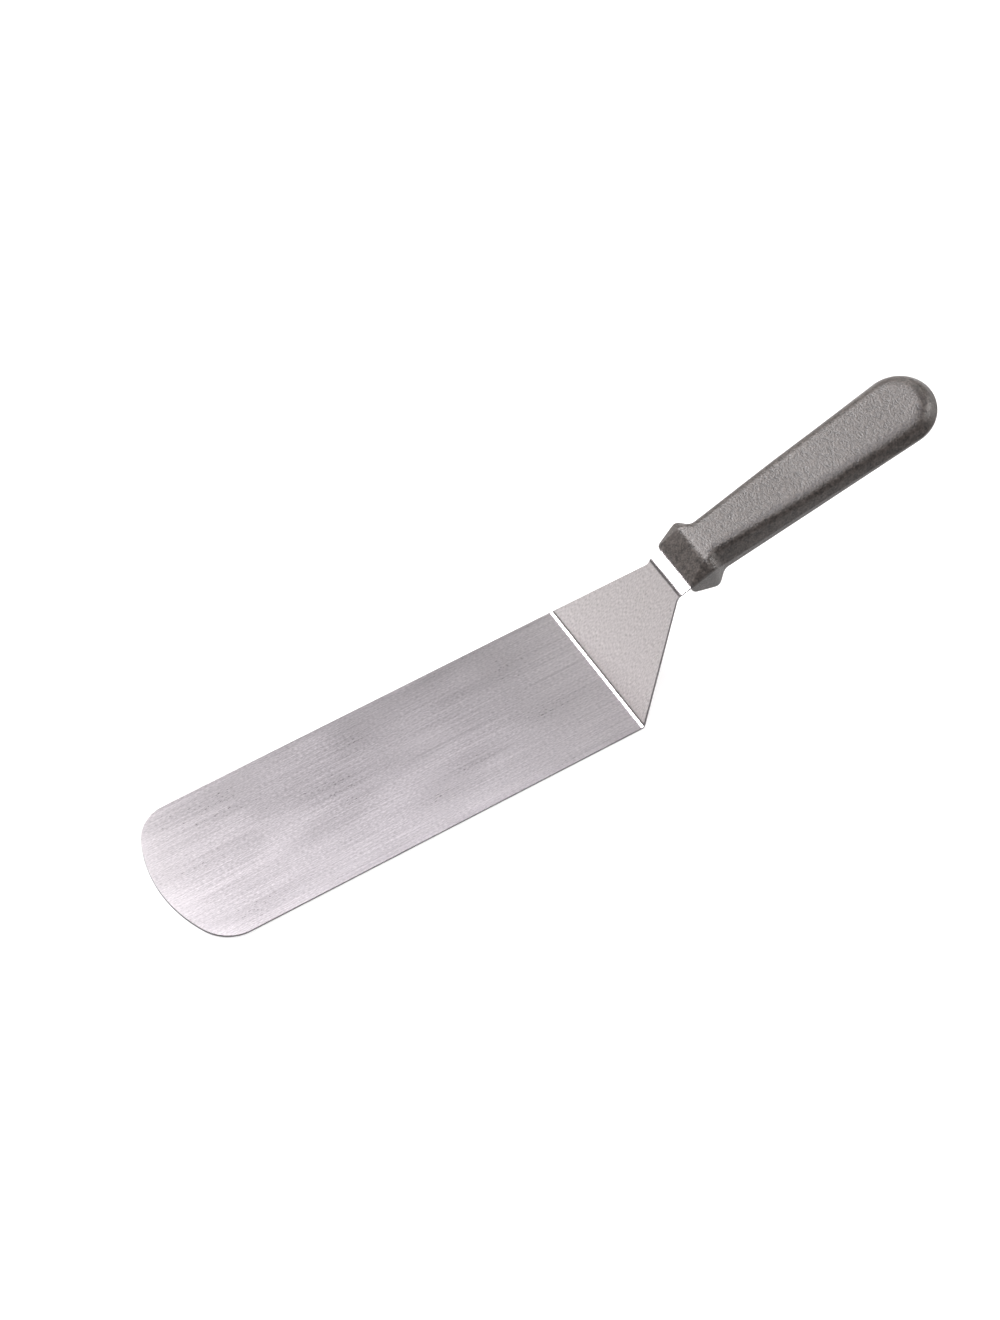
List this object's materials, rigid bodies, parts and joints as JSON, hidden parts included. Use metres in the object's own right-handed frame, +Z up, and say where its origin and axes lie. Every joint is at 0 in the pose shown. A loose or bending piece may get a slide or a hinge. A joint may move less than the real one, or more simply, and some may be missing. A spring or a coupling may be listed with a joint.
{
  "type": "offset spatula",
  "caption": "Cranked turner: a wide flat steel blade with a round front, a steep tapered crank and a moulded plastic handle with a flared guard.",
  "frame": {"origin": "centre of the flat blade's resting face", "axes": "+X from the round tip to the butt of the handle, +Y across the blade, +Z up out of the blade's carrying face"},
  "size_m": [0.4033, 0.075, 0.0995],
  "materials": {
    "steel": "satin, brushed lengthwise",
    "handle_plastic": "fine moulded grain, semi-matte"
  },
  "bodies": {
    "root": {"blade_and_tang": "steel", "handle": "handle_plastic"}
  },
  "joints": []
}
